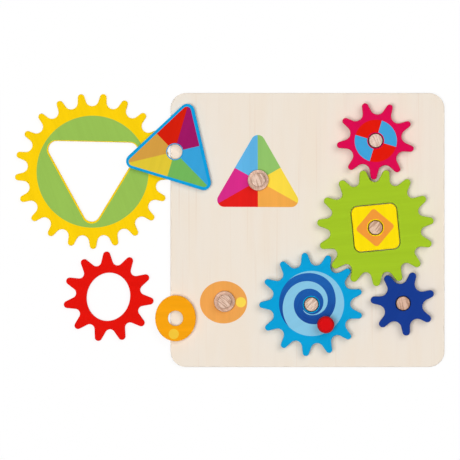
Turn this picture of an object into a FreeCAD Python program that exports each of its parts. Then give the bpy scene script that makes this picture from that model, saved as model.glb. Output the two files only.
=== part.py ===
"""Wooden crank gear toy: a board with six pegs, six toothed wheels, three hub inserts and a crank knob.

Millimetres, +Z up. The origin is the centre of the board's underside, +X runs to the right and +Y to
the back. Four wheels are on their pegs and in mesh. Two ring wheels and two inserts lie loose, to the
left of the board and on its edge.
"""

import FreeCAD, Part
import math
import os

import Sketcher

Vector = FreeCAD.Vector
START, END, CENTRE = range(1, 4)  # the points of a sketch element
X_AXIS, Y_AXIS = range(-1, -3, -1)  # a sketch's own axes
ORIGIN = (X_AXIS, START)  # a sketch's origin, as an element and its point
NEAR = 1e-4  # lengths that differ by less are the same

SIZES = {
    # the sheet of wood that the board, the wheels and the inserts are cut from
    "sheet_thickness": 8.0,
    "edge_round": 0.8,
    # board
    "board_side": 280.0,
    "board_corner": 16.0,
    "board_edge_round": 1.0,
    # pegs: a tenon in the board, a collar that the wheel runs on, a pin through the wheel
    "collar_diameter": 21.4,
    "collar_height": 5.0,
    "collar_round": 1.0,
    "pin_diameter": 13.9,
    "pin_above_wheel": 4.0,
    "pin_round": 1.0,
    "tenon_diameter": 10.0,
    "tenon_length": 6.0,
    "glue_gap": 0.05,
    # teeth, the same on every wheel
    "gear_module": 6.64,
    "tooth_above": 9.85,
    "tooth_below": 3.25,
    "tooth_foot": 4.0,
    "tip_clearance": 2.5,
    # bores of the wheels and inserts
    "bore_clearance": 0.7,
    # each wheel's own: number of teeth, radius of a tooth's tip and taper of its flanks
    "yellow_teeth": 21,
    "yellow_tip": 3.4,
    "yellow_taper": 9.0,
    "red_teeth": 11,
    "red_tip": 3.7,
    "red_taper": 16.0,
    "green_teeth": 15,
    "green_tip": 3.7,
    "green_taper": 12.5,
    "pink_teeth": 9,
    "pink_tip": 3.2,
    "pink_taper": 11.0,
    "blue_teeth": 13,
    "blue_tip": 3.2,
    "blue_taper": 13.5,
    "navy_teeth": 7,
    "navy_tip": 3.8,
    "navy_taper": 7.0,
    # places on the board, turns in degrees, and how far each driven wheel leans on the green one
    "green_x": 69.2,
    "green_y": 2.4,
    "green_turn": 7.0,
    "pink_bearing": 89.9,
    "pink_lean": 0.6,
    "blue_bearing": 230.05,
    "blue_lean": 1.8,
    "navy_bearing": 290.0,
    "navy_lean": 1.3,
    "triangle_peg_x": -50.4,
    "triangle_peg_y": 50.9,
    "oval_peg_x": -84.9,
    "oval_peg_y": -73.0,
    # loose wheels, to the left of the board
    "yellow_beside_board": 0.05,
    "yellow_y": 60.2,
    "yellow_turn": 13.2,
    "red_beside_board": 17.1,
    "red_beside_yellow": 2.55,
    "red_turn": 27.0,
    # inserts, and the holes that they fit in
    "triangle_side": 101.3,
    "triangle_corner": 7.7,
    "triangle_clearance": 0.75,
    "triangle_hole_turn": 45.5,
    "oval_length": 47.0,
    "oval_width": 41.6,
    "oval_clearance": 1.25,
    "oval_hole_turn": 49.0,
    "square_side": 46.1,
    "square_corner": 6.6,
    "square_clearance": 0.8,
    "square_turn": -1.3,
    # loose inserts, on the board's left edge
    "triangle_past_edge": 4.4,
    "triangle_above_yellow": 19.7,
    "triangle_turn": -17.1,
    "oval_past_edge": 5.2,
    "oval_insert_y": -90.1,
    "oval_insert_turn": 90.0,
    # crank knob, glued in the blue wheel
    "knob_diameter": 17.5,
    "knob_height": 19.0,
    "knob_round": 4.0,
    "knob_foot_round": 1.0,
    "knob_tenon_diameter": 8.0,
    "knob_tenon_length": 6.0,
    "knob_radius": 25.2,
    "knob_turn": -13.7,
}


def add_sheet(document):
    """Put every driving size in a spreadsheet, one named cell each."""
    sheet = document.addObject("Spreadsheet::Sheet", "Sizes")
    for row, (name, value) in enumerate(SIZES.items(), start=1):
        sheet.set(f"A{row}", name)
        sheet.set(f"B{row}", str(value))
        sheet.setAlias(f"B{row}", name)
    document.recompute()
    return sheet


# ---------------------------------------------------------------- sketches and features

def add_body(document, name):
    body = document.addObject("PartDesign::Body", name)
    body.Label = name
    return body


def origin_feature(body, role):
    return next(feature for feature in body.Origin.OriginFeatures if feature.Role == role)


def add_sketch(body, name, height=None, turn=None):
    """A sketch on the body's own level plane, raised and turned by expressions."""
    sketch = body.newObject("Sketcher::SketchObject", name)
    sketch.AttachmentSupport = (origin_feature(body, "XY_Plane"), [""])
    sketch.MapMode = "FlatFace"
    if height:
        sketch.setExpression("AttachmentOffset.Base.z", height)
    if turn:
        sketch.setExpression("AttachmentOffset.Rotation.Angle", turn)
    return sketch


def size(sketch, kind, *where, value, unit="mm"):
    """Add a constraint whose value is an expression of the sheet."""
    index = sketch.addConstraint(Sketcher.Constraint(kind, *where, 1.0))
    sketch.setExpression(f"Constraints[{index}]", f"({value}) * 1 {unit}")


def tie(sketch, kind, *where):
    """Add a constraint that has no value."""
    sketch.addConstraint(Sketcher.Constraint(kind, *where))


def place_point(sketch, element, point, x, y):
    """Hold a point at (x, y), each an expression or None where it lies on the axis."""
    if x is None:
        tie(sketch, "PointOnObject", element, point, Y_AXIS)
    else:
        size(sketch, "DistanceX", *ORIGIN, element, point, value=x)
    if y is None:
        tie(sketch, "PointOnObject", element, point, X_AXIS)
    else:
        size(sketch, "DistanceY", *ORIGIN, element, point, value=y)


def draw_circle(sketch, radius, x=None, y=None):
    circle = sketch.addGeometry(Part.Circle(Vector(1, 1, 0), Vector(0, 0, 1), 1), False)
    size(sketch, "Radius", circle, value=radius)
    place_point(sketch, circle, CENTRE, x, y)


def draw_polygon(sketch, corners):
    """Straight sides through corners given as pairs of expressions, None for one on an axis."""
    start = [Vector(math.cos(i), math.sin(i), 0) for i in range(len(corners))]
    sides = []
    for here, there in zip(start, start[1:] + start[:1]):
        sides.append(sketch.addGeometry(Part.LineSegment(here, there), False))
    for side, following in zip(sides, sides[1:] + sides[:1]):
        tie(sketch, "Coincident", side, END, following, START)
    for side, (x, y) in zip(sides, corners):
        place_point(sketch, side, START, x, y)


def pad(body, name, sketch, length):
    feature = body.newObject("PartDesign::Pad", name)
    feature.Profile = sketch
    feature.setExpression("Length", length)
    return feature


def pocket(body, name, sketch, depth=None):
    """Cut down from the sketch to a depth, or up through the whole body."""
    feature = body.newObject("PartDesign::Pocket", name)
    feature.Profile = sketch
    if depth:
        feature.setExpression("Length", depth)
    else:
        feature.Type = "ThroughAll"
        feature.Reversed = True
    return feature


def round_edges(body, name, edges, radius):
    """Round the edges of the body's tip that edges(shape) picks."""
    body.Document.recompute()
    base = body.Tip
    names = [f"Edge{i}" for i, edge in enumerate(base.Shape.Edges, start=1) if edges(edge)]
    feature = body.newObject("PartDesign::Fillet", name)
    feature.Base = (base, names)
    feature.setExpression("Radius", radius)
    return feature


def is_upright(edge):
    """Is the edge a straight one along Z?"""
    box = edge.BoundBox
    return box.XLength < NEAR and box.YLength < NEAR and box.ZLength > NEAR


def upright_inside(radius):
    """Pick the upright edges that stand nearer to the axis than a radius."""
    return lambda edge: is_upright(edge) and math.hypot(edge.BoundBox.XMin, edge.BoundBox.YMin) < radius


def is_level(edge):
    """Does the edge lie in a level plane?"""
    return edge.BoundBox.ZLength < NEAR


def level_at(height):
    """Pick the level edges at one height."""
    return lambda edge: is_level(edge) and abs(edge.BoundBox.ZMin - height) < NEAR


def place(body, x="0", y="0", z="0", turn="0"):
    body.setExpression("Placement.Base.x", x)
    body.setExpression("Placement.Base.y", y)
    body.setExpression("Placement.Base.z", z)
    body.setExpression("Placement.Rotation.Angle", turn)


# ---------------------------------------------------------------- what the wheels share

PIN_RADIUS = "(Sizes.pin_diameter / 2)"
BORE_RADIUS = "(Sizes.pin_diameter / 2 + Sizes.bore_clearance)"
WHEEL_LEVEL = "Sizes.sheet_thickness + Sizes.collar_height"
BOARD_LEFT = "(0 - Sizes.board_side / 2)"


def tip_reach(wheel):
    """Radius of the circle round the tips of a wheel's teeth."""
    return f"(Sizes.gear_module * Sizes.{wheel}_teeth / 2 + Sizes.tooth_above)"


def root_reach(wheel):
    """Radius of the circle at the bottom of a wheel's tooth gaps."""
    return f"(Sizes.gear_module * Sizes.{wheel}_teeth / 2 - Sizes.tooth_below)"


def mesh_distance(wheel):
    """Distance from the green wheel's axis to the axis of a wheel that it drives."""
    return f"({tip_reach('green')} + {root_reach(wheel)} + Sizes.tip_clearance)"


def mesh_turn(wheel):
    """Turn at which a wheel's teeth stand in the gaps of the green wheel.

    On the line of centres a tooth faces a gap. The wheel then leans back towards its neighbour's flank
    by its own lean, measured along the pitch circle.
    """
    bearing = f"Sizes.{wheel}_bearing"
    passed = f"(Sizes.green_turn - {bearing}) * Sizes.green_teeth / 360"
    pitch_radius = f"{mesh_distance(wheel)} * Sizes.{wheel}_teeth / (Sizes.green_teeth + Sizes.{wheel}_teeth)"
    lean = f"Sizes.{wheel}_lean / ({pitch_radius}) * 180 / pi"
    return f"({bearing} + 180 + (0.5 - {passed}) * 360 / Sizes.{wheel}_teeth - {lean})"


def driven_place(wheel):
    """Where a wheel that the green one drives has its axis, as a pair of expressions."""
    bearing = f"Sizes.{wheel}_bearing"
    x = f"Sizes.green_x + {mesh_distance(wheel)} * cos({bearing})"
    y = f"Sizes.green_y + {mesh_distance(wheel)} * sin({bearing})"
    return x, y


PEG_PLACES = {
    "triangle": ("Sizes.triangle_peg_x", "Sizes.triangle_peg_y"),
    "oval": ("Sizes.oval_peg_x", "Sizes.oval_peg_y"),
    "green": ("Sizes.green_x", "Sizes.green_y"),
    "pink": driven_place("pink"),
    "blue": driven_place("blue"),
    "navy": driven_place("navy"),
}


# ---------------------------------------------------------------- outlines

def root_radius(wheel):
    """The root circle's radius as a number, which the first guess of a sketch needs."""
    return SIZES["gear_module"] * SIZES[f"{wheel}_teeth"] / 2 - SIZES["tooth_below"]


def arc(centre, radius, first, last):
    """An arc that runs anticlockwise from one angle to another, in radians."""
    return Part.ArcOfCircle(Part.Circle(centre, Vector(0, 0, 1), radius), first, last)


def draw_tooth(sketch, wheel):
    """One tooth along +X, with half of the round gap on each side and a foot inside the rim.

    Its flanks are straight and lean together by the taper. They run tangent into the round tip and into
    the gap's arc, which touches the root circle on the radius between two teeth.
    """
    tip_radius = SIZES[f"{wheel}_tip"]
    taper = math.radians(SIZES[f"{wheel}_taper"])
    half_pitch = math.pi / SIZES[f"{wheel}_teeth"]
    root = root_radius(wheel)
    tip_centre = root + SIZES["tooth_below"] + SIZES["tooth_above"] - tip_radius
    slope = math.sin(half_pitch + taper)
    gap_radius = (root * slope - tip_centre * math.sin(taper) - tip_radius) / (1 - slope)

    def polar(radius, angle):
        return Vector(radius * math.cos(angle), radius * math.sin(angle), 0)

    across = math.pi / 2 - taper
    gap_low, gap_high = polar(root + gap_radius, -half_pitch), polar(root + gap_radius, half_pitch)
    tip = Vector(tip_centre, 0, 0)
    flank_low = [gap_low + polar(gap_radius, math.pi - across), tip + polar(tip_radius, -across)]
    flank_high = [tip + polar(tip_radius, across), gap_high + polar(gap_radius, across - math.pi)]
    foot = root - SIZES["tooth_foot"]
    elements = [
        Part.LineSegment(polar(foot, -half_pitch), polar(root, -half_pitch)),
        arc(gap_low, gap_radius, math.pi - across, math.pi - half_pitch),
        Part.LineSegment(*flank_low),
        arc(tip, tip_radius, -across, across),
        Part.LineSegment(*flank_high),
        arc(gap_high, gap_radius, math.pi + half_pitch, math.pi + across),
        Part.LineSegment(polar(foot, half_pitch), polar(root, half_pitch)),
        Part.LineSegment(polar(foot, half_pitch), polar(foot, -half_pitch)),
    ]
    low_side, low_gap, low_flank, tip_arc, high_flank, high_gap, high_side, chord = range(len(elements))
    sketch.addGeometry(elements, False)
    tie(sketch, "Coincident", low_side, END, low_gap, END)
    tie(sketch, "Tangent", low_gap, START, low_flank, START)
    tie(sketch, "Tangent", low_flank, END, tip_arc, START)
    tie(sketch, "Tangent", tip_arc, END, high_flank, START)
    tie(sketch, "Tangent", high_flank, END, high_gap, END)
    tie(sketch, "Coincident", high_gap, START, high_side, END)
    tie(sketch, "Coincident", high_side, START, chord, START)
    tie(sketch, "Coincident", chord, END, low_side, START)
    tie(sketch, "Symmetric", low_side, START, high_side, START, X_AXIS)
    tie(sketch, "Symmetric", low_side, END, high_side, END, X_AXIS)
    tie(sketch, "PointOnObject", tip_arc, CENTRE, X_AXIS)
    tie(sketch, "PointOnObject", *ORIGIN, high_side)
    tie(sketch, "PointOnObject", low_gap, CENTRE, low_side)
    tie(sketch, "PointOnObject", high_gap, CENTRE, high_side)
    size(sketch, "Distance", *ORIGIN, high_side, START, value=f"{root_reach(wheel)} - Sizes.tooth_foot")
    size(sketch, "Distance", *ORIGIN, high_side, END, value=root_reach(wheel))
    size(sketch, "Angle", high_side, value=f"180 / Sizes.{wheel}_teeth", unit="deg")
    size(sketch, "Angle", low_flank, value=f"Sizes.{wheel}_taper", unit="deg")
    size(sketch, "Radius", tip_arc, value=f"Sizes.{wheel}_tip")
    size(sketch, "DistanceX", *ORIGIN, tip_arc, CENTRE, value=f"{tip_reach(wheel)} - Sizes.{wheel}_tip")


def draw_triangle(sketch, side):
    """An equilateral triangle about the origin, one corner towards +Y."""
    half = f"{side} / 2"
    low = f"0 - {side} / (2 * sqrt(3))"
    draw_polygon(sketch, [(f"0 - {half}", low), (half, low), (None, f"{side} / sqrt(3)")])


def draw_round_triangle(sketch):
    """The triangular insert's outline with its clearance, as sides that run tangent into corner arcs.

    The arcs' centres are those of the insert's own corners.
    """
    core = "(Sizes.triangle_side / (2 * sqrt(3)) - Sizes.triangle_corner)"
    corner = "Sizes.triangle_corner + Sizes.triangle_clearance"
    centres = [(None, f"2 * {core}"), (f"0 - sqrt(3) * {core}", f"0 - {core}"),
               (f"sqrt(3) * {core}", f"0 - {core}")]
    reach = SIZES["triangle_side"] / math.sqrt(3) - 2 * SIZES["triangle_corner"]
    radius = SIZES["triangle_corner"] + SIZES["triangle_clearance"]
    arcs, ends = [], []
    for direction in (math.pi / 2, math.pi * 7 / 6, math.pi * 11 / 6):
        centre = Vector(reach * math.cos(direction), reach * math.sin(direction), 0)
        first, last = direction - math.pi / 3, direction + math.pi / 3
        arcs.append(sketch.addGeometry(arc(centre, radius, first, last), False))
        ends.append([centre + Vector(radius * math.cos(angle), radius * math.sin(angle), 0)
                     for angle in (first, last)])
    for number, (here, there) in enumerate(zip(ends, ends[1:] + ends[:1])):
        side = sketch.addGeometry(Part.LineSegment(here[1], there[0]), False)
        tie(sketch, "Tangent", arcs[number], END, side, START)
        tie(sketch, "Tangent", side, END, arcs[(number + 1) % 3], START)
    for arc_number, (x, y) in zip(arcs, centres):
        size(sketch, "Radius", arc_number, value=corner)
        place_point(sketch, arc_number, CENTRE, x, y)


def draw_square(sketch, side):
    low, high = f"0 - {side} / 2", f"{side} / 2"
    draw_polygon(sketch, [(low, low), (high, low), (high, high), (low, high)])


def draw_oval(sketch, length, width):
    """An ellipse about the origin, its long axis along X."""
    oval = sketch.addGeometry(Part.Ellipse(Vector(0, 0, 0), 2, 1), False)
    long_axis, short_axis = oval + 1, oval + 2
    sketch.exposeInternalGeometry(oval)
    tie(sketch, "Coincident", oval, CENTRE, *ORIGIN)
    tie(sketch, "Horizontal", long_axis)
    size(sketch, "Distance", long_axis, value=length)
    size(sketch, "Distance", short_axis, value=width)


# ---------------------------------------------------------------- the pieces

def make_toothed_wheel(document, name, wheel):
    """A toothed disc of the sheet's thickness, still without its hole."""
    body = add_body(document, name)
    rim = add_sketch(body, f"{wheel}_rim_outline")
    draw_circle(rim, f"{root_reach(wheel)} - Sizes.tooth_foot / 2")
    pad(body, f"{wheel}_rim", rim, "Sizes.sheet_thickness")
    outline = add_sketch(body, f"{wheel}_tooth_outline")
    draw_tooth(outline, wheel)
    tooth = pad(body, f"{wheel}_tooth", outline, "Sizes.sheet_thickness")
    teeth = body.newObject("PartDesign::PolarPattern", f"{wheel}_teeth")
    teeth.Originals = [tooth]
    teeth.Axis = (origin_feature(body, "Z_Axis"), [""])
    teeth.Angle = 360
    teeth.setExpression("Occurrences", f"Sizes.{wheel}_teeth")
    body.Tip = teeth
    return body


def cut_bore(body, wheel):
    bore = add_sketch(body, f"{wheel}_bore_outline")
    draw_circle(bore, BORE_RADIUS)
    pocket(body, f"{wheel}_bore", bore)


def make_round_hub_wheel(document, wheel):
    """A wheel that runs on its peg in a plain bore."""
    body = make_toothed_wheel(document, f"{wheel}_gear", wheel)
    cut_bore(body, wheel)
    return body


def make_yellow_ring(document):
    """The large ring wheel, open in the shape of the triangular insert."""
    body = make_toothed_wheel(document, "yellow_ring_gear", "yellow")
    hole = add_sketch(body, "yellow_hole_outline", turn="Sizes.triangle_hole_turn")
    draw_round_triangle(hole)
    pocket(body, "yellow_hole", hole)
    return body


def make_red_ring(document):
    """The small ring wheel, open in the shape of the oval insert."""
    body = make_toothed_wheel(document, "red_ring_gear", "red")
    hole = add_sketch(body, "red_hole_outline", turn="Sizes.oval_hole_turn")
    draw_oval(hole, "Sizes.oval_length + 2 * Sizes.oval_clearance",
              "Sizes.oval_width + 2 * Sizes.oval_clearance")
    pocket(body, "red_hole", hole)
    return body


def make_green_wheel(document):
    """The wheel in the middle of the train, open in the shape of the square insert."""
    body = make_toothed_wheel(document, "green_gear", "green")
    hole = add_sketch(body, "green_hole_outline", turn="Sizes.square_turn")
    draw_square(hole, "(Sizes.square_side + 2 * Sizes.square_clearance)")
    pocket(body, "green_hole", hole)
    round_edges(body, "green_hole_corners", upright_inside(root_radius("green")),
                "Sizes.square_corner + Sizes.square_clearance")
    return body


def make_blue_wheel(document):
    """The crank wheel: a plain bore, and a blind hole from above for the knob's tenon."""
    body = make_round_hub_wheel(document, "blue")
    socket = add_sketch(body, "knob_socket_outline", height="Sizes.sheet_thickness")
    draw_circle(socket, "Sizes.knob_tenon_diameter / 2 + Sizes.glue_gap",
                x="Sizes.knob_radius * cos(Sizes.knob_turn)",
                y="Sizes.knob_radius * sin(Sizes.knob_turn)")
    pocket(body, "knob_socket", socket, depth="Sizes.knob_tenon_length + Sizes.glue_gap")
    return body


def make_insert(document, name, draw):
    """A hub of the sheet's thickness with the outline that draw() gives, still without its bore."""
    body = add_body(document, f"{name}_insert")
    outline = add_sketch(body, f"{name}_insert_outline")
    draw(outline)
    pad(body, f"{name}_insert_plate", outline, "Sizes.sheet_thickness")
    return body


def make_triangle_insert(document):
    body = make_insert(document, "triangle", lambda sketch: draw_triangle(sketch, "Sizes.triangle_side"))
    round_edges(body, "triangle_insert_corners", is_upright, "Sizes.triangle_corner")
    cut_bore(body, "triangle")
    return body


def make_square_insert(document):
    body = make_insert(document, "square", lambda sketch: draw_square(sketch, "Sizes.square_side"))
    round_edges(body, "square_insert_corners", is_upright, "Sizes.square_corner")
    cut_bore(body, "square")
    return body


def make_oval_insert(document):
    body = make_insert(document, "oval",
                       lambda sketch: draw_oval(sketch, "Sizes.oval_length", "Sizes.oval_width"))
    cut_bore(body, "oval")
    return body


def ease_edges(body):
    """Break every sharp edge of the two painted faces, as sanding does."""
    thickness = SIZES["sheet_thickness"]
    top, bottom = level_at(thickness), level_at(0)
    round_edges(body, f"{body.Name}_eased", lambda edge: top(edge) or bottom(edge), "Sizes.edge_round")


def make_board(document):
    """The square board, with a blind hole for each peg's tenon."""
    body = add_body(document, "base_board")
    outline = add_sketch(body, "board_outline")
    draw_square(outline, "Sizes.board_side")
    pad(body, "board_plate", outline, "Sizes.sheet_thickness")
    round_edges(body, "board_corners", is_upright, "Sizes.board_corner")
    round_edges(body, "board_eased", is_level, "Sizes.board_edge_round")
    holes = add_sketch(body, "tenon_holes_outline", height="Sizes.sheet_thickness")
    for x, y in PEG_PLACES.values():
        draw_circle(holes, "Sizes.tenon_diameter / 2 + Sizes.glue_gap", x=x, y=y)
    pocket(body, "tenon_holes", holes, depth="Sizes.tenon_length + Sizes.glue_gap")
    return body


def make_turned(document, name, sections):
    """A turned piece about Z, from sections of (radius, lower level, upper level) that stack up."""
    body = add_body(document, name)
    for number, (radius, low, high) in enumerate(sections, start=1):
        outline = add_sketch(body, f"{name}_section_{number}", height=low)
        draw_circle(outline, radius)
        pad(body, f"{name}_turning_{number}", outline, f"({high}) - ({low})")
    return body


def make_peg(document, name):
    """A stepped peg: z = 0 is the board's top face, where the collar sits."""
    pin_top = "Sizes.collar_height + Sizes.sheet_thickness + Sizes.pin_above_wheel"
    body = make_turned(document, f"{name}_peg", [
        ("Sizes.tenon_diameter / 2", "0 - Sizes.tenon_length", "0"),
        ("Sizes.collar_diameter / 2", "0", "Sizes.collar_height"),
        (PIN_RADIUS, "Sizes.collar_height", pin_top),
    ])
    collar_top = SIZES["collar_height"]
    collar_edge = SIZES["collar_diameter"] / 2
    round_edges(body, f"{name}_collar_eased",
                lambda edge: level_at(collar_top)(edge) and edge.Curve.Radius > collar_edge - NEAR,
                "Sizes.collar_round")
    top = SIZES["collar_height"] + SIZES["sheet_thickness"] + SIZES["pin_above_wheel"]
    round_edges(body, f"{name}_pin_eased", level_at(top), "Sizes.pin_round")
    x, y = PEG_PLACES[name]
    place(body, x, y, "Sizes.sheet_thickness")
    return body


def make_knob(document):
    """The crank knob: z = 0 is the blue wheel's upper face, where the knob sits."""
    body = make_turned(document, "crank_knob", [
        ("Sizes.knob_tenon_diameter / 2", "0 - Sizes.knob_tenon_length", "0"),
        ("Sizes.knob_diameter / 2", "0", "Sizes.knob_height"),
    ])
    round_edges(body, "knob_top_eased", level_at(SIZES["knob_height"]), "Sizes.knob_round")
    foot_edge = SIZES["knob_diameter"] / 2
    round_edges(body, "knob_foot_eased",
                lambda edge: level_at(0)(edge) and edge.Curve.Radius > foot_edge - NEAR,
                "Sizes.knob_foot_round")
    x, y = driven_place("blue")
    angle = f"{mesh_turn('blue')} + Sizes.knob_turn"
    place(body, f"{x} + Sizes.knob_radius * cos({angle})", f"{y} + Sizes.knob_radius * sin({angle})",
          f"{WHEEL_LEVEL} + Sizes.sheet_thickness")
    return body


def make_mounted_wheels(document):
    """The four wheels on their pegs, in mesh, and the insert in the green one."""
    green = make_green_wheel(document)
    place(green, *PEG_PLACES["green"], WHEEL_LEVEL, "Sizes.green_turn")
    square = make_square_insert(document)
    place(square, *PEG_PLACES["green"], WHEEL_LEVEL, "Sizes.green_turn + Sizes.square_turn")
    driven = {
        "pink": make_round_hub_wheel(document, "pink"),
        "blue": make_blue_wheel(document),
        "navy": make_round_hub_wheel(document, "navy"),
    }
    for wheel, body in driven.items():
        place(body, *PEG_PLACES[wheel], WHEEL_LEVEL, mesh_turn(wheel))
    return [green, square, *driven.values()]


def make_loose_pieces(document):
    """The ring wheels beside the board, and the inserts that lie over its left edge."""
    yellow = make_yellow_ring(document)
    yellow_x = f"{BOARD_LEFT} - Sizes.yellow_beside_board - {tip_reach('yellow')}"
    place(yellow, yellow_x, "Sizes.yellow_y", turn="Sizes.yellow_turn")
    red = make_red_ring(document)
    red_x = f"{BOARD_LEFT} - Sizes.red_beside_board - {tip_reach('red')}"
    red_y = f"Sizes.yellow_y - {tip_reach('yellow')} - Sizes.red_beside_yellow - {tip_reach('red')}"
    place(red, red_x, red_y, turn="Sizes.red_turn")
    triangle = make_triangle_insert(document)
    place(triangle, f"{BOARD_LEFT} + Sizes.triangle_past_edge",
          "Sizes.yellow_y + Sizes.triangle_above_yellow", "Sizes.sheet_thickness", "Sizes.triangle_turn")
    oval = make_oval_insert(document)
    place(oval, f"{BOARD_LEFT} + Sizes.oval_past_edge", "Sizes.oval_insert_y", "Sizes.sheet_thickness",
          "Sizes.oval_insert_turn")
    return [yellow, red, triangle, oval]


def check(document, bodies):
    """Stop if any object failed, or if a piece isn't one valid solid."""
    for thing in document.Objects:
        if "Invalid" in thing.State or "Error" in thing.State:
            raise RuntimeError(f"{thing.Label} failed: {thing.State}")
    for body in bodies:
        shape = body.Shape
        if shape.isNull() or not shape.isValid() or len(shape.Solids) != 1:
            raise RuntimeError(f"{body.Label} is not one valid solid")


def main():
    document = FreeCAD.newDocument("crank_gear_toy")
    add_sheet(document)
    flat_pieces = make_mounted_wheels(document) + make_loose_pieces(document)
    for body in flat_pieces:
        ease_edges(body)
    turned_pieces = [make_peg(document, name) for name in PEG_PLACES]
    turned_pieces.append(make_knob(document))
    bodies = [make_board(document)] + turned_pieces + flat_pieces
    document.recompute()
    check(document, bodies)
    os.makedirs("parts", exist_ok=True)
    for body in bodies:
        body.Shape.exportStep(f"parts/{body.Label}.step")
        print(f"{body.Label}: {body.Shape.Volume:.0f} mm3")


main()
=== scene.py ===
"""The looks of a wooden crank gear toy: painted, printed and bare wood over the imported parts, in a studio.

Metres, in the parts' own frame, unless a line says millimetres. Angles are in degrees, anticlockwise from
+X as seen from above. Each print is placed about the bore or the centre of its own piece, as it lies at rest.
"""

import math

import bpy
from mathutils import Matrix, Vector


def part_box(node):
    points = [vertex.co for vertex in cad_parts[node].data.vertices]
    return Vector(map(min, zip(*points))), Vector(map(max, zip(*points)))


MM = 0.001
PLIES = 5  # layers of veneer in the sheet
PRINT_DEPTH = 0.3 * MM  # a print is on the topmost part of its piece
BORE_WALL = 7.95 * MM  # inside this radius a bore's wall is bare
BORE_RING = 8.7 * MM  # prints leave a ring of the base colour round a bore
DISC_RADIUS = 5.2 * MM  # the small yellow discs
PIN_RADIUS = 7.05 * MM  # a peg is collar outside this radius

# how deep the relief of each finish is, and how much light it mirrors
BOARD_RELIEF = 0.12 * MM
PEG_RELIEF = 0.03 * MM
PAINT_RELIEF = 0.05 * MM
KNOB_RELIEF = 0.04 * MM
GLOSS = 0.3
KNOB_GLOSS = 0.1

BAND_STRETCH = 14  # the grain's soft bands are so many times as long as they are wide
FIBRE_STRETCH = 45  # and its fibres
RING_BOW = 14.0  # how much growth rings bow across a peg's end, per metre
DARK_STREAK = (0.52, 0.40, 0.33)  # of the light wood's red, green and blue

PICTURE_WIDTH = 0.4701  # what the picture's width spans on the board
CAMERA_X, CAMERA_Y = -0.0792, 0.0
CAMERA_HEIGHT = 6.0  # far off, so that the view has almost no perspective
SENSOR = 36.0  # millimetres
SKY_LIGHT = 0.12
CEILING = 0.04  # what the paint mirrors from straight above
BACKDROP_FADES = (0.35, 0.8)  # the sines of the heights at which the backdrop starts and ends to fade
# each lamp: direction that it shines from, how wide it is, its share of the light on a level surface,
# and whether the paint mirrors it
LAMPS = {
    "front_lamp": ((-0.2, -0.09, 1.0), 24.0, 0.53, False),
    "back_lamp": ((0.3, 0.24, 1.0), 36.0, 0.33, False),
    "glint_lamp": ((-0.9, -0.45, 1.1), 20.0, 0.02, True),
}
FLOOR_SIDE = 60.0
FLOOR_SHADOW = 0.15  # how much of the floor's shading the camera sees
FLOOR_GREY = 0.8  # what the floor gives back to the toy

# the grain's direction across each peg's end, the colour of its light wood, whether a wheel is on it, and
# the colour put on its collar's top: under a wheel, painted shade of the gap round the pin, tinted by the
# wheel's paint; on a bare peg, a darker, warmer wood tone
PEGS = {
    "triangle_peg": (18.0, (236, 206, 188), False, (236, 197, 175)),
    "oval_peg": (50.0, (235, 203, 183), False, (231, 188, 163)),
    "pink_peg": (20.0, (237, 210, 195), True, (150, 0, 40)),
    "green_peg": (-42.0, (233, 200, 175), True, (180, 120, 0)),
    "blue_peg": (-45.0, (235, 212, 195), True, (0, 80, 130)),
    "navy_peg": (12.0, (220, 183, 161), True, (20, 30, 80)),
}


# ------------------------------------------------------- numbers and colours that vary over a surface

class Value:
    """A number that varies over a surface. Arithmetic with it adds nodes to its material."""

    def __init__(self, graph, socket):
        self.graph = graph
        self.socket = socket

    def math(self, operation, *others):
        return self.graph.math(operation, self, *others)

    def __add__(self, other):
        return self.math("ADD", other)

    def __sub__(self, other):
        return self.math("SUBTRACT", other)

    def __rsub__(self, other):
        return self.graph.math("SUBTRACT", other, self)

    def __mul__(self, other):
        return self.math("MULTIPLY", other)

    def __truediv__(self, other):
        return self.math("DIVIDE", other)

    __radd__ = __add__

    def below(self, other):
        """1 where this is less than other, else 0."""
        return self.math("LESS_THAN", other)

    def above(self, other):
        """1 where this is more than other, else 0."""
        return self.math("GREATER_THAN", other)

    def spread(self, low, high, to_low=0.0, to_high=1.0):
        """This value with its range low to high stretched, and held, to another range."""
        return self.graph.number("MapRange", self, low, high, to_low, to_high, clamp=True)


class Graph:
    """The nodes of a material or a world."""

    def __init__(self, owner):
        owner.use_nodes = True
        self.tree = owner.node_tree
        self.tree.nodes.clear()

    def node(self, kind, *inputs, **settings):
        """A node whose first inputs are given in order, None for one that stays as it is."""
        node = self.tree.nodes.new("ShaderNode" + kind)
        for name, value in settings.items():
            setattr(node, name, value)
        for socket, value in zip(node.inputs, inputs):
            self.feed(socket, value)
        return node

    def feed(self, socket, value):
        if isinstance(value, Value):
            value = value.socket
        if isinstance(value, bpy.types.NodeSocket):
            self.tree.links.new(value, socket)
        elif value is not None:
            socket.default_value = value

    def number(self, kind, *inputs, **settings):
        return Value(self, self.node(kind, *inputs, **settings).outputs[0])

    def math(self, operation, *inputs):
        return self.number("Math", *inputs, operation=operation)

    def split(self, vector):
        return [Value(self, out) for out in self.node("SeparateXYZ", vector).outputs]

    def seen_directly(self):
        """1 for rays from the camera, and for those by reflection or through glass, else 0."""
        path = self.node("LightPath")
        camera, glossy, through = [Value(self, path.outputs[f"Is {kind} Ray"])
                                   for kind in ("Camera", "Glossy", "Transmission")]
        return camera.math("MAXIMUM", glossy).math("MAXIMUM", through)


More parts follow.
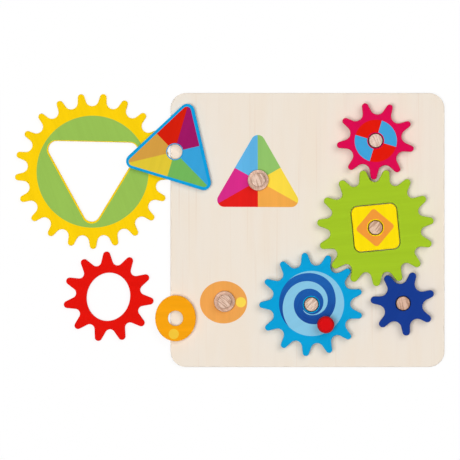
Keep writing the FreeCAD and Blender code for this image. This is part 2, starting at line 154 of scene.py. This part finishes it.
class Surface(Graph):
    """The nodes of a piece's material, with the place of each point in the parts' frame.

    upright is 0 where the surface is level and 1 where it is a wall.
    """

    def __init__(self, name):
        self.material = bpy.data.materials.new(name)
        super().__init__(self.material)
        where = self.node("TexCoord")
        self.place = self.x, self.y, self.z = self.split(where.outputs["Object"])
        normal_z = self.split(where.outputs["Normal"])[2]
        self.upright = 1 - normal_z * normal_z

    def noise(self, place, sizes, detail=2.0, roughness=0.5, distortion=0.0):
        """Soft noise from 0 to 1. The sizes are its grain's along each coordinate, in millimetres."""
        scaled = [coordinate / (size * MM) for coordinate, size in zip(place, sizes)]
        node = self.node("TexNoise", self.node("CombineXYZ", *scaled).outputs[0])
        for name, value in [("Scale", 1.0), ("Detail", detail), ("Roughness", roughness),
                            ("Distortion", distortion)]:
            node.inputs[name].default_value = value
        return Value(self, node.outputs["Fac"])

    def mix(self, share, low, high):
        """A colour between two others."""
        node = self.node("Mix", share, data_type="RGBA")
        self.feed(node.inputs[6], low)
        self.feed(node.inputs[7], high)
        return node.outputs[2]

    def ramp(self, value, stops, interpolation="LINEAR"):
        """A colour read off a scale of (position, colour)."""
        node = self.node("ValToRGB", value)
        node.color_ramp.interpolation = interpolation
        elements = node.color_ramp.elements
        while len(elements) < len(stops):
            elements.new(0.5)
        for element, (position, colour) in zip(elements, stops):
            element.position = position
            element.color = colour
        return node.outputs[0]

    def curve(self, value, points):
        """A smooth curve through (value, result) points, both from 0 to 1."""
        node = self.node("FloatCurve", None, value)
        curve = node.mapping.curves[0]
        while len(curve.points) < len(points):
            curve.points.new(0.5, 0.5)
        for point, place in zip(curve.points, points):
            point.location = place
        node.mapping.update()
        return Value(self, node.outputs[0])

    def turned(self, angle, centre=(0.0, 0.0)):
        """Plan coordinates about a centre, in axes turned by an angle."""
        x, y = self.x - centre[0], self.y - centre[1]
        c, s = math.cos(math.radians(angle)), math.sin(math.radians(angle))
        return x * c + y * s, y * c - x * s

    def toned(self, colour, factor):
        """A colour made lighter or darker by a factor that varies."""
        return self.node("HueSaturation", 0.5, 1.0, factor, 1.0, colour).outputs[0]

    def finish(self, colour, roughness, height=None, bump=0.0, **constants):
        """Close the material with a shader. The height, 0 to 1, gives relief of bump metres."""
        shader = self.node("BsdfPrincipled")
        self.feed(shader.inputs["Base Color"], colour)
        self.feed(shader.inputs["Roughness"], roughness)
        for name, value in constants.items():
            shader.inputs[name.replace("_", " ")].default_value = value
        if height is not None:
            relief = self.node("Bump")
            relief.inputs["Distance"].default_value = bump
            self.feed(relief.inputs["Height"], height)
            self.feed(shader.inputs["Normal"], relief.outputs[0])
        self.feed(self.node("OutputMaterial").inputs["Surface"], shader.outputs[0])
        return self.material


def rgb(red, green, blue):
    """A colour given as it looks on screen, 0 to 255, as the linear one that a shader takes."""
    def linear(part):
        part /= 255
        return part / 12.92 if part <= 0.04045 else ((part + 0.055) / 1.055) ** 2.4
    return (linear(red), linear(green), linear(blue), 1.0)


def shade(colour, factor):
    return tuple(part * factor for part in colour[:3]) + (1.0,)


# ------------------------------------------------------- flat shapes, as how far a point is outside them

def length(x, y):
    return (x * x + y * y).math("SQRT")


def polygon(x, y, sides, inner_radius, corner, first=90.0):
    """A regular polygon with round corners. first is the direction of one corner."""
    share = (y.math("ARCTAN2", x) / math.tau - first / 360) * sides
    off_middle = (share.math("FRACT") - 0.5) * (math.tau / sides)
    reach = length(x, y)
    core = inner_radius - corner
    past_side = (reach * off_middle.math("COSINE") - core).math("MAXIMUM", 0.0)
    past_end = (reach * off_middle.math("SINE")).math("ABSOLUTE") - core * math.tan(math.pi / sides)
    return length(past_side, past_end.math("MAXIMUM", 0.0)) - corner


def oval(x, y, half_x, half_y):
    return (length(x / half_x, y / half_y) - 1.0) * min(half_x, half_y)


def sectors(graph, x, y, first, colours):
    """Equal sectors round the origin, anticlockwise from an angle."""
    share = y.math("ARCTAN2", x) / math.tau - first / 360
    stops = [(number / len(colours), colour) for number, colour in enumerate(colours)]
    return graph.ramp(share.math("FRACT"), stops, "CONSTANT")


# ------------------------------------------------------- wood

def streaks(graph, across, along, wide, fine):
    """Wood grain from 0 to 1: soft bands and fine fibres, both lengthwise, so many millimetres wide."""
    place = across, along, graph.z
    bands = graph.noise(place, (wide, wide * BAND_STRETCH, wide), detail=3.0, distortion=0.4)
    fibres = graph.noise(place, (fine, fine * FIBRE_STRETCH, fine), roughness=0.7)
    return bands * 0.65 + fibres * 0.35


def plies(graph, top, sheet):
    """Which way the veneer at a point runs, and how near it is to a line of glue."""
    depth = (top - graph.z) / (sheet / PLIES)
    crosswise = (depth / 2).math("FRACT").above(0.5)
    from_glue = (depth.math("FRACT") - 0.5).math("ABSOLUTE")
    return crosswise, from_glue.spread(0.44, 0.5)


def cut_edge(graph, crosswise, glue):
    """The colour of bare plywood where it is cut across: end grain in every other ply, and glue."""
    pores = graph.noise(graph.place, (0.4, 0.4, 0.25))
    long_grain = graph.ramp(pores, [(0.3, rgb(222, 200, 172)), (0.7, rgb(236, 220, 198))])
    end_grain = graph.ramp(pores, [(0.3, rgb(178, 142, 104)), (0.7, rgb(212, 184, 150))])
    return graph.mix(glue * 0.6, graph.mix(crosswise, long_grain, end_grain), rgb(140, 104, 70))


def make_plywood(name, node, prints):
    """Bare birch plywood, its outer veneers' grain along Y, with prints as (mask, colour) pairs."""
    graph = Surface(name)
    low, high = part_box(node)
    crosswise, glue = plies(graph, high.z, high.z - low.z)
    grain = streaks(graph, graph.x, graph.y, wide=9, fine=0.8)
    wood = graph.ramp(grain, [(0.3, rgb(238, 225, 211)), (0.45, rgb(240, 229, 215)),
                              (0.7, rgb(241, 230, 216))])
    warm = graph.noise(graph.place, (16, 90, 16))
    wood = graph.mix(warm.spread(0.42, 0.68, 0.0, 0.5), wood, rgb(240, 225, 206))
    veins = graph.noise(graph.place, (2.5, 130, 2.5), detail=0.0)
    wood = graph.mix(veins.spread(0.7, 0.85, 0.0, 0.4), wood, rgb(229, 206, 183))
    flecks = graph.noise(graph.place, (0.5, 6, 0.5), detail=1.0)
    wood = graph.mix(flecks.spread(0.68, 0.8, 0.0, 0.15), wood, rgb(216, 193, 164))
    steep = graph.upright.spread(0.7, 1.0)
    wood = graph.mix(steep, wood, cut_edge(graph, crosswise, glue))
    on_top = graph.z.above(high.z - PRINT_DEPTH)
    tone = grain.spread(0.35, 0.65, 0.94, 1.04)
    for mask, colour in prints(graph):
        wood = graph.mix(mask * on_top, wood, graph.toned(colour, tone))
    relief = grain - steep * glue * 0.6
    roughness = grain.spread(0.3, 0.7, 0.58, 0.5)
    return graph.finish(wood, roughness, relief, BOARD_RELIEF, Specular_IOR_Level=GLOSS)


def make_beech(name, node, angle, light, wheel_on_it, collar):
    """A turned beech peg: streaks across its ends, fibres down its side, painted shade on its rounded edges
    and, under a wheel, on its collar.
    """
    graph = Surface(name)
    u, v = graph.turned(angle, box_middle(node))
    across, along = graph.turned(angle)
    bowed = across + v * v * RING_BOW, along, graph.z
    rings = graph.noise(bowed, (1.7, 20, 60), detail=1.0, distortion=0.2)
    fibres = graph.noise((across, along, graph.z), (1.1, 7, 12), roughness=0.7)
    tone = rings * 0.55 + fibres * 0.45
    brown = tuple(part * share for part, share in zip(light, DARK_STREAK)) + (1.0,)
    wood = graph.mix(tone.spread(0.42, 0.54, 0.75, 0.0), shade(light, 1.03), brown)
    rays = graph.noise((across, along, graph.z), (5, 0.8, 2.2), detail=0.0)
    wood = graph.mix(rays.spread(0.6, 0.75, 0.0, 0.3), wood, brown)
    radius = length(u, v)
    wood = graph.mix(radius.spread(3 * MM, PIN_RADIUS, 0.0, 0.15), wood, brown)
    on_collar = radius.above(PIN_RADIUS)
    # under a wheel the collar's top gets painted shade of the gap round the pin, in the wheel's colour; a
    # bare peg's collar gets a darker, warmer tone
    collar_tone_and_shade = on_collar * graph.upright.below(0.3) * 0.95 if wheel_on_it else on_collar * 0.5
    wood = graph.mix(collar_tone_and_shade, wood, collar)
    # painted shade on the rounded edges of the pin and the collar, darkest on a peg under a wheel
    edge = graph.upright.spread(0.3, 0.8) - graph.upright.spread(0.94, 1.0, 0.0, 0.8)
    painted_edge_shade = 0.85 if wheel_on_it else 0.35 + on_collar * 0.5
    wood = graph.mix(edge * painted_edge_shade, wood, shade(brown, 0.6))
    return graph.finish(wood, 0.55, tone, PEG_RELIEF, Specular_IOR_Level=GLOSS)


# ------------------------------------------------------- paint

def make_paint(name, node, base, grain_angle, prints, bore):
    """Opaque paint over plywood: the grain and, on the sides, the plies show through as faint relief.

    The prints are (mask, colour) pairs on the upper face. The wall of the bore, if there is one, is bare.
    """
    graph = Surface(name)
    low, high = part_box(node)
    crosswise, glue = plies(graph, high.z, high.z - low.z)
    across, along = graph.turned(grain_angle)
    grain = streaks(graph, across, along, wide=5, fine=0.6)
    tone = grain.spread(0.3, 0.7)
    paint = graph.mix(tone, shade(base, 0.94), shade(base, 1.05))
    on_top = graph.z.above(high.z - PRINT_DEPTH)
    for mask, colour in prints(graph) if prints else []:
        paint = graph.mix(mask * on_top, paint, graph.toned(colour, tone.spread(0.0, 1.0, 0.96, 1.04)))
    paint = graph.mix(graph.upright * (glue * 0.25 + crosswise * 0.12), paint, shade(base, 0.6))
    if bore:
        in_bore = length(*graph.turned(0.0, bore)).below(BORE_WALL) * graph.upright.above(0.8)
        paint = graph.mix(in_bore, paint, cut_edge(graph, crosswise, glue))
    peel = graph.noise(graph.place, (1.2, 1.2, 1.2), detail=1.0)
    relief = grain * 0.7 + peel * 0.3 - graph.upright * (glue * 0.8 + crosswise * 0.4)
    roughness = tone.spread(0.0, 1.0, 0.47, 0.37)
    return graph.finish(paint, roughness, relief, PAINT_RELIEF, Specular_IOR_Level=GLOSS)


def make_knob_paint(name, node, base):
    """Satin paint on a turned knob, with painted shade towards its sides, over faint rings of the turning."""
    graph = Surface(name)
    x, y = graph.turned(0.0, box_middle(node))
    rings = (length(x, y) / (0.55 * MM)).math("SINE")
    peel = graph.noise(graph.place, (1.0, 1.0, 1.6), detail=1.0)
    paint = graph.mix(peel, shade(base, 0.93), shade(base, 1.05))
    # painted shade: the knob's sides are darker than its top
    paint = graph.mix(graph.upright.spread(0.05, 0.6, 0.0, 0.6), paint, shade(base, 0.5))
    roughness = peel.spread(0.0, 1.0, 0.36, 0.46)
    return graph.finish(paint, roughness, rings * 0.15 + peel, KNOB_RELIEF, Specular_IOR_Level=KNOB_GLOSS)


# ------------------------------------------------------- the pieces

def middle_of(node):
    """The centre of a wheel or insert: the centroid of its surface, because each is symmetric about it."""
    total, moment = 0.0, Vector()
    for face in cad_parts[node].data.polygons:
        total += face.area
        moment += face.center * face.area
    return moment / total


def box_middle(node):
    low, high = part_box(node)
    return (low + high) / 2


def beside(point, right, up):
    """The place so many millimetres from a point, for a print that isn't quite centred."""
    return point.x + right * MM, point.y + up * MM


def outside_bore(graph, centre):
    return length(*graph.turned(0.0, centre)).above(BORE_RING)


def board_prints(graph):
    """Under the two bare pegs: a triangle of six colours, and an oval with a disc in it."""
    x, y = graph.turned(-0.2, beside(box_middle("triangle_peg"), -0.4, -0.5))
    colours = [rgb(146, 195, 105), rgb(95, 180, 229), rgb(216, 42, 136), rgb(228, 28, 22),
               rgb(243, 170, 75), rgb(251, 219, 68)]
    triangle = polygon(x, y, sides=3, inner_radius=26.9 * MM, corner=7.1 * MM)
    yield triangle.below(0.0), sectors(graph, x, y, 30, colours)
    x, y = graph.turned(0.0, beside(box_middle("oval_peg"), -0.9, -0.8))
    yield oval(x, y, half_x=24.2 * MM, half_y=21.7 * MM).below(0.0), rgb(238, 165, 82)
    yield length(x - 17.7 * MM, y).below(DISC_RADIUS), rgb(251, 218, 80)


def triangle_prints(graph):
    """Six colours inside a border."""
    bore = middle_of("triangle_insert")
    x, y = graph.turned(-16.7, beside(bore, -0.2, -0.1))
    colours = [rgb(159, 17, 99), rgb(214, 26, 0), rgb(214, 158, 66), rgb(226, 200, 52),
               rgb(114, 183, 90), rgb(54, 163, 219)]
    inside = polygon(x, y, sides=3, inner_radius=26.1 * MM, corner=4.3 * MM).below(0.0)
    yield inside * outside_bore(graph, bore), sectors(graph, x, y, 30, colours)


def yellow_prints(graph):
    """A disc that stops short of the triangular hole."""
    x, y = graph.turned(58.7, beside(middle_of("yellow_ring_gear"), 0.0, -0.6))
    outside_hole = polygon(x, y, sides=3, inner_radius=31.4 * MM, corner=9.8 * MM).above(0.0)
    yield length(x, y).below(57.2 * MM) * outside_hole, rgb(152, 193, 84)


def oval_prints(graph):
    """A small disc."""
    x, y = graph.turned(0.0, beside(middle_of("oval_insert"), -1.8, -16.1))
    yield length(x, y).below(DISC_RADIUS), rgb(246, 200, 58)


def square_prints(graph):
    """A square on its corner."""
    bore = box_middle("green_peg")
    x, y = graph.turned(5.3, beside(bore, -0.4, 0.0))
    diamond = polygon(x, y, sides=4, inner_radius=14.35 * MM, corner=3.4 * MM)
    yield diamond.below(0.0) * outside_bore(graph, bore), rgb(243, 155, 57)


def pink_prints(graph):
    """A disc in quarters."""
    bore = box_middle("pink_peg")
    x, y = graph.turned(0.0, beside(bore, 0.1, -0.3))
    disc = length(x, y).below(21.6 * MM)
    red, blue = rgb(228, 20, 0), rgb(63, 164, 219)
    yield disc * outside_bore(graph, bore), sectors(graph, x, y, 73.5, [red, blue] * 2)


def blue_prints(graph):
    """A dark disc with a light band that winds out from the bore to the rim.

    The band's two edges are given as its radius, in millimetres, against the angle that it has wound through.
    """
    bore = box_middle("blue_peg")
    reach, turns = 40 * MM, 3
    inner = [(0, 10.0), (210, 10.0), (225, 9.6), (285, 10.3), (345, 11.6), (405, 14.2), (450, 16.1),
             (495, 17.5), (585, 18.4), (630, 19.9), (720, 24.5), (810, 32.1), (1080, 39.0)]
    outer = [(0, 10.0), (210, 10.0), (225, 10.4), (285, 11.1), (315, 12.6), (345, 14.9), (405, 19.7),
             (450, 23.5), (495, 26.7), (540, 29.0), (600, 33.4), (660, 38.0), (1080, 39.0)]
    edges = [[(angle / 360 / turns, radius * MM / reach) for angle, radius in edge]
             for edge in (inner, outer)]
    x, y = graph.turned(0.0, beside(bore, 0.1, -0.2))
    radius = length(x, y)
    share = (y.math("ARCTAN2", x) / math.tau).math("FRACT")
    light = 0.0
    for turn in range(turns):
        wound = (share + turn) / turns
        past_inner = radius.above(graph.curve(wound, edges[0]) * reach)
        light = (past_inner * radius.below(graph.curve(wound, edges[1]) * reach)).math("MAXIMUM", light)
    strokes = graph.noise((radius - share * (12 * MM), x, y), (0.9, 9, 9), detail=1.0)
    dark = graph.mix((y / (60 * MM) + 0.5 + (strokes - 0.5) * 0.8).spread(0.0, 1.0),
                     rgb(22, 64, 146), rgb(28, 98, 178))
    disc = length(*graph.turned(0.0, beside(bore, 0.3, 0.9))).below(33.2 * MM)
    yield disc * outside_bore(graph, bore), graph.mix(light, dark, rgb(135, 199, 229))


def dress(node, material):
    """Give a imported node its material."""
    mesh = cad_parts[node].data
    mesh.materials.clear()
    mesh.materials.append(material)


def dress_all():
    dress("base_board", make_plywood("birch_plywood", "base_board", board_prints))
    for node, (angle, light, wheel_on_it, collar) in PEGS.items():
        dress(node, make_beech(f"beech_{node}", node, angle, rgb(*light), wheel_on_it, rgb(*collar)))
    # each painted piece: base colour, the grain's direction, its prints, and where its bore is
    paints = {
        "yellow_ring_gear": (rgb(254, 210, 0), 20.0, yellow_prints, None),
        "red_ring_gear": (rgb(229, 12, 0), 75.0, None, None),
        "green_gear": (rgb(164, 199, 36), 95.0, None, None),
        "pink_gear": (rgb(221, 0, 79), 40.0, pink_prints, None),
        "blue_gear": (rgb(0, 162, 218), 118.0, blue_prints, None),
        "navy_gear": (rgb(19, 58, 144), 150.0, None, None),
        "triangle_insert": (rgb(0, 160, 222), -16.0, triangle_prints, middle_of("triangle_insert")),
        "oval_insert": (rgb(250, 165, 8), 90.0, oval_prints, middle_of("oval_insert")),
        "square_insert": (rgb(255, 226, 0), 4.6, square_prints, None),
    }
    for node, paint in paints.items():
        dress(node, make_paint(f"paint_{node}", node, *paint))
    dress("crank_knob", make_knob_paint("paint_crank_knob", "crank_knob", rgb(217, 15, 20)))


# ------------------------------------------------------- studio

def make_floor():
    """A white floor that keeps a faint shadow."""
    material = bpy.data.materials.new("studio_floor")
    graph = Graph(material)
    white = (1.0, 1.0, 1.0, 1.0)
    glow = graph.node("Emission", white, 1.0).outputs[0]
    lit = graph.node("BsdfDiffuse", white).outputs[0]
    dimmer = graph.node("BsdfDiffuse", shade(white, FLOOR_GREY)).outputs[0]
    shown = graph.node("MixShader", FLOOR_SHADOW, glow, lit).outputs[0]
    surface = graph.node("MixShader", graph.seen_directly(), dimmer, shown).outputs[0]
    graph.feed(graph.node("OutputMaterial").inputs["Surface"], surface)
    half = FLOOR_SIDE / 2
    mesh = bpy.data.meshes.new("studio_floor")
    mesh.from_pydata([(-half, -half, 0), (half, -half, 0), (half, half, 0), (-half, half, 0)], [],
                     [(0, 1, 2, 3)])
    mesh.materials.append(material)
    floor = bpy.data.objects.new("studio_floor", mesh)
    bpy.context.scene.collection.objects.link(floor)


def make_light():
    """A white backdrop all round under a dim ceiling, two wide lamps overhead and a weak one at the side.

    The backdrop lights the toy no more than the ceiling does. The paint doesn't mirror the wide lamps, so
    that the faces turned up to the camera keep their colour.
    """
    world = bpy.data.worlds.new("studio")
    graph = Graph(world)
    upward = graph.split(graph.node("TexCoord").outputs["Generated"])[2]
    seen = graph.seen_directly()
    strength = (1 - seen) * SKY_LIGHT + seen * upward.spread(*BACKDROP_FADES, 1.0, CEILING)
    sky = graph.node("Background", (1.0, 1.0, 1.0, 1.0), strength)
    graph.feed(graph.node("OutputWorld").inputs["Surface"], sky.outputs[0])
    bpy.context.scene.world = world
    for name, (source, angle, share, mirrored) in LAMPS.items():
        direction = Vector(source).normalized()
        lamp = bpy.data.lights.new(name, "SUN")
        lamp.angle = math.radians(angle)
        lamp.energy = share * math.pi / direction.z
        holder = bpy.data.objects.new(name, lamp)
        holder.location = direction * 2.0
        holder.rotation_mode = "QUATERNION"
        holder.rotation_quaternion = direction.to_track_quat("Z", "Y")
        holder.visible_glossy = mirrored
        bpy.context.scene.collection.objects.link(holder)


def make_camera():
    """Straight down on the toy, the board to the right of the middle."""
    camera = bpy.data.cameras.new("camera")
    camera.sensor_width = SENSOR
    board_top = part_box("base_board")[1].z
    camera.lens = SENSOR * (CAMERA_HEIGHT - board_top) / PICTURE_WIDTH
    camera.clip_end = 100.0
    holder = bpy.data.objects.new("camera", camera)
    holder.location = (CAMERA_X, CAMERA_Y, CAMERA_HEIGHT)
    bpy.context.scene.collection.objects.link(holder)
    bpy.context.scene.camera = holder


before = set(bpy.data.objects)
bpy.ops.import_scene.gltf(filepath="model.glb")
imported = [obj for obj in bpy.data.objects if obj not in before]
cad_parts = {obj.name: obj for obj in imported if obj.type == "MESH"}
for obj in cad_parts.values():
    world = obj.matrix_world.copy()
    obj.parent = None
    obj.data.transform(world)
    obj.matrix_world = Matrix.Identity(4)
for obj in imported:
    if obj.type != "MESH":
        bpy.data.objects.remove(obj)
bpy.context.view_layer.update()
dress_all()
make_floor()
make_light()
make_camera()
bpy.context.scene.view_settings.view_transform = "Standard"
